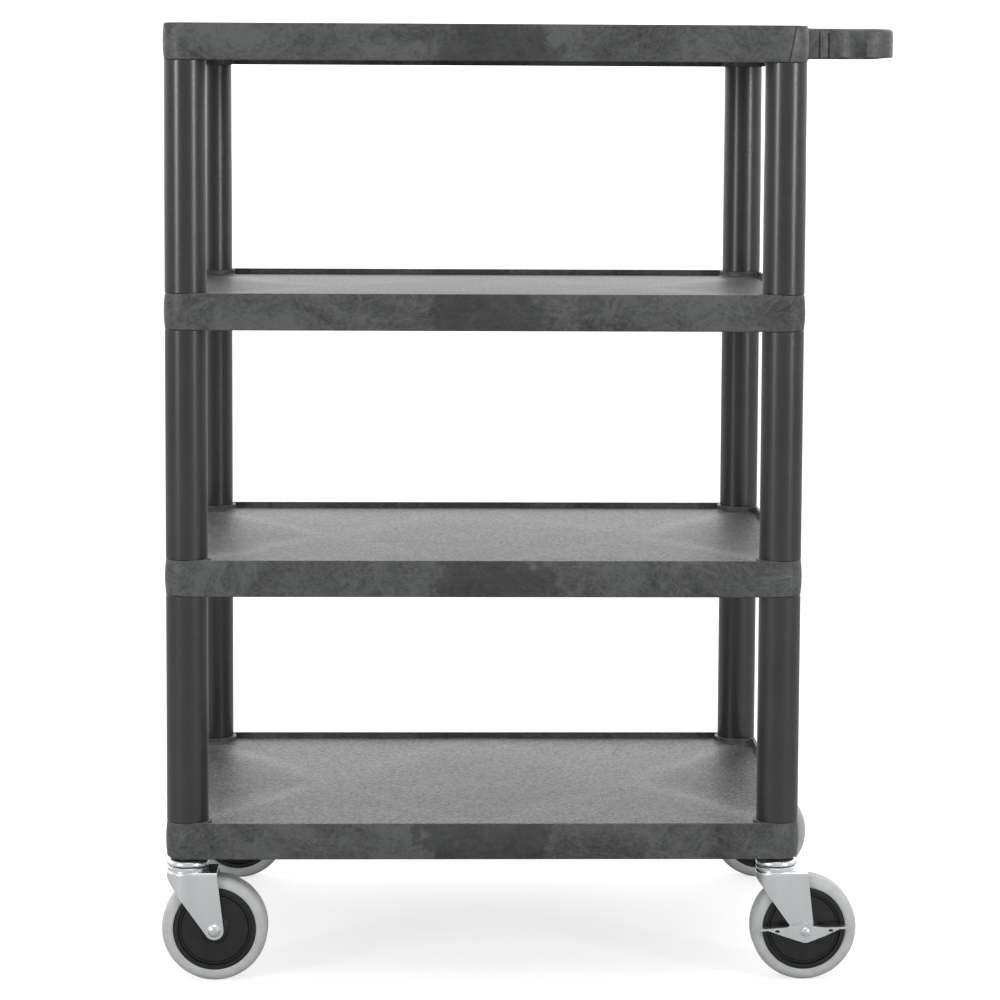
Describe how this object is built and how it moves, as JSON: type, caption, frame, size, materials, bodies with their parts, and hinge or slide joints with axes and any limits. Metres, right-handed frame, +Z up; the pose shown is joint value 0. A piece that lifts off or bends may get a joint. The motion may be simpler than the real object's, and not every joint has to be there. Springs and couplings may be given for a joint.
{
  "type": "food service trolley",
  "caption": "Utility service trolley: flat lipped plastic shelves on round legs, moulded push handle at one end, swivel casters under the corners, foot brakes at the handle end.",
  "frame": {"origin": "on the floor, under the centre of the whole trolley's length and depth, handle and wheels included, with all casters trailing towards the handle end", "axes": "+Z up, +X towards the push-handle end, -Y the front long side"},
  "size_m": [0.7138, 0.476, 0.917],
  "materials": {
    "foam_moulding": "pebbled structural foam, charcoal",
    "leg_tube": "semi-gloss extruded plastic, charcoal",
    "socket_plastic": "black nylon",
    "zinc_steel": "bright zinc plate on pressed steel",
    "ball_steel": "polished",
    "core_plastic": "black moulded polypropylene",
    "grey_rubber": "grey non-marking rubber"
  },
  "bodies": {
    "trolley": {"bottom_shelf": "foam_moulding", "lower_middle_shelf": "foam_moulding", "upper_middle_shelf": "foam_moulding", "top_shelf": "foam_moulding", "front_left_lower_leg": "leg_tube", "front_left_middle_leg": "leg_tube", "front_left_upper_leg": "leg_tube", "front_right_lower_leg": "leg_tube", "front_right_middle_leg": "leg_tube", "front_right_upper_leg": "leg_tube", "rear_left_lower_leg": "leg_tube", "rear_left_middle_leg": "leg_tube", "rear_left_upper_leg": "leg_tube", "rear_right_lower_leg": "leg_tube", "rear_right_middle_leg": "leg_tube", "rear_right_upper_leg": "leg_tube", "caster_sockets": "socket_plastic", "front_left_stem": "zinc_steel", "front_left_top_race": "zinc_steel", "front_left_swivel_balls": "ball_steel", "front_right_stem": "zinc_steel", "front_right_top_race": "zinc_steel", "front_right_swivel_balls": "ball_steel", "rear_left_stem": "zinc_steel", "rear_left_top_race": "zinc_steel", "rear_left_swivel_balls": "ball_steel", "rear_right_stem": "zinc_steel", "rear_right_top_race": "zinc_steel", "rear_right_swivel_balls": "ball_steel"},
    "front_left_swivel": {"front_left_fork": "zinc_steel", "front_left_axle_sleeve": "zinc_steel", "front_left_axle_bolt": "zinc_steel", "front_left_axle_nut": "zinc_steel"},
    "front_left_wheel": {"front_left_wheel_core": "core_plastic", "front_left_tyre": "grey_rubber"},
    "front_right_swivel": {"front_right_fork": "zinc_steel", "front_right_axle_sleeve": "zinc_steel", "front_right_axle_bolt": "zinc_steel", "front_right_axle_nut": "zinc_steel", "front_right_brake_cam": "socket_plastic"},
    "front_right_wheel": {"front_right_wheel_core": "core_plastic", "front_right_tyre": "grey_rubber"},
    "front_right_pedal": {"front_right_brake_pedal": "zinc_steel"},
    "rear_left_swivel": {"rear_left_fork": "zinc_steel", "rear_left_axle_sleeve": "zinc_steel", "rear_left_axle_bolt": "zinc_steel", "rear_left_axle_nut": "zinc_steel"},
    "rear_left_wheel": {"rear_left_wheel_core": "core_plastic", "rear_left_tyre": "grey_rubber"},
    "rear_right_swivel": {"rear_right_fork": "zinc_steel", "rear_right_axle_sleeve": "zinc_steel", "rear_right_axle_bolt": "zinc_steel", "rear_right_axle_nut": "zinc_steel", "rear_right_brake_cam": "socket_plastic"},
    "rear_right_wheel": {"rear_right_wheel_core": "core_plastic", "rear_right_tyre": "grey_rubber"},
    "rear_right_pedal": {"rear_right_brake_pedal": "zinc_steel"}
  },
  "joints": [
    {"name": "front_left_caster_swivel", "type": "hinge", "parent": "trolley", "child": "front_left_swivel", "pos_m": [-0.3321, -0.2075, 0.1073], "axis": [0, 0, 1], "continuous": true},
    {"name": "front_left_wheel_roll", "type": "hinge", "parent": "front_left_swivel", "child": "front_left_wheel", "pos_m": [-0.3061, -0.2075, 0.0508], "axis": [0, 1, 0], "continuous": true},
    {"name": "front_right_caster_swivel", "type": "hinge", "parent": "trolley", "child": "front_right_swivel", "pos_m": [0.2359, -0.2075, 0.1073], "axis": [0, 0, 1], "continuous": true},
    {"name": "front_right_wheel_roll", "type": "hinge", "parent": "front_right_swivel", "child": "front_right_wheel", "pos_m": [0.2619, -0.2075, 0.0508], "axis": [0, 1, 0], "continuous": true},
    {"name": "front_right_brake_rock", "type": "hinge", "parent": "front_right_swivel", "child": "front_right_pedal", "pos_m": [0.2619, -0.235, 0.0508], "axis": [0, 1, 0], "range_deg": [-12, 12]},
    {"name": "rear_left_caster_swivel", "type": "hinge", "parent": "trolley", "child": "rear_left_swivel", "pos_m": [-0.3321, 0.2075, 0.1073], "axis": [0, 0, 1], "continuous": true},
    {"name": "rear_left_wheel_roll", "type": "hinge", "parent": "rear_left_swivel", "child": "rear_left_wheel", "pos_m": [-0.3061, 0.2075, 0.0508], "axis": [0, 1, 0], "continuous": true},
    {"name": "rear_right_caster_swivel", "type": "hinge", "parent": "trolley", "child": "rear_right_swivel", "pos_m": [0.2359, 0.2075, 0.1073], "axis": [0, 0, 1], "continuous": true},
    {"name": "rear_right_wheel_roll", "type": "hinge", "parent": "rear_right_swivel", "child": "rear_right_wheel", "pos_m": [0.2619, 0.2075, 0.0508], "axis": [0, 1, 0], "continuous": true},
    {"name": "rear_right_brake_rock", "type": "hinge", "parent": "rear_right_swivel", "child": "rear_right_pedal", "pos_m": [0.2619, 0.235, 0.0508], "axis": [0, 1, 0], "range_deg": [-12, 12]}
  ]
}
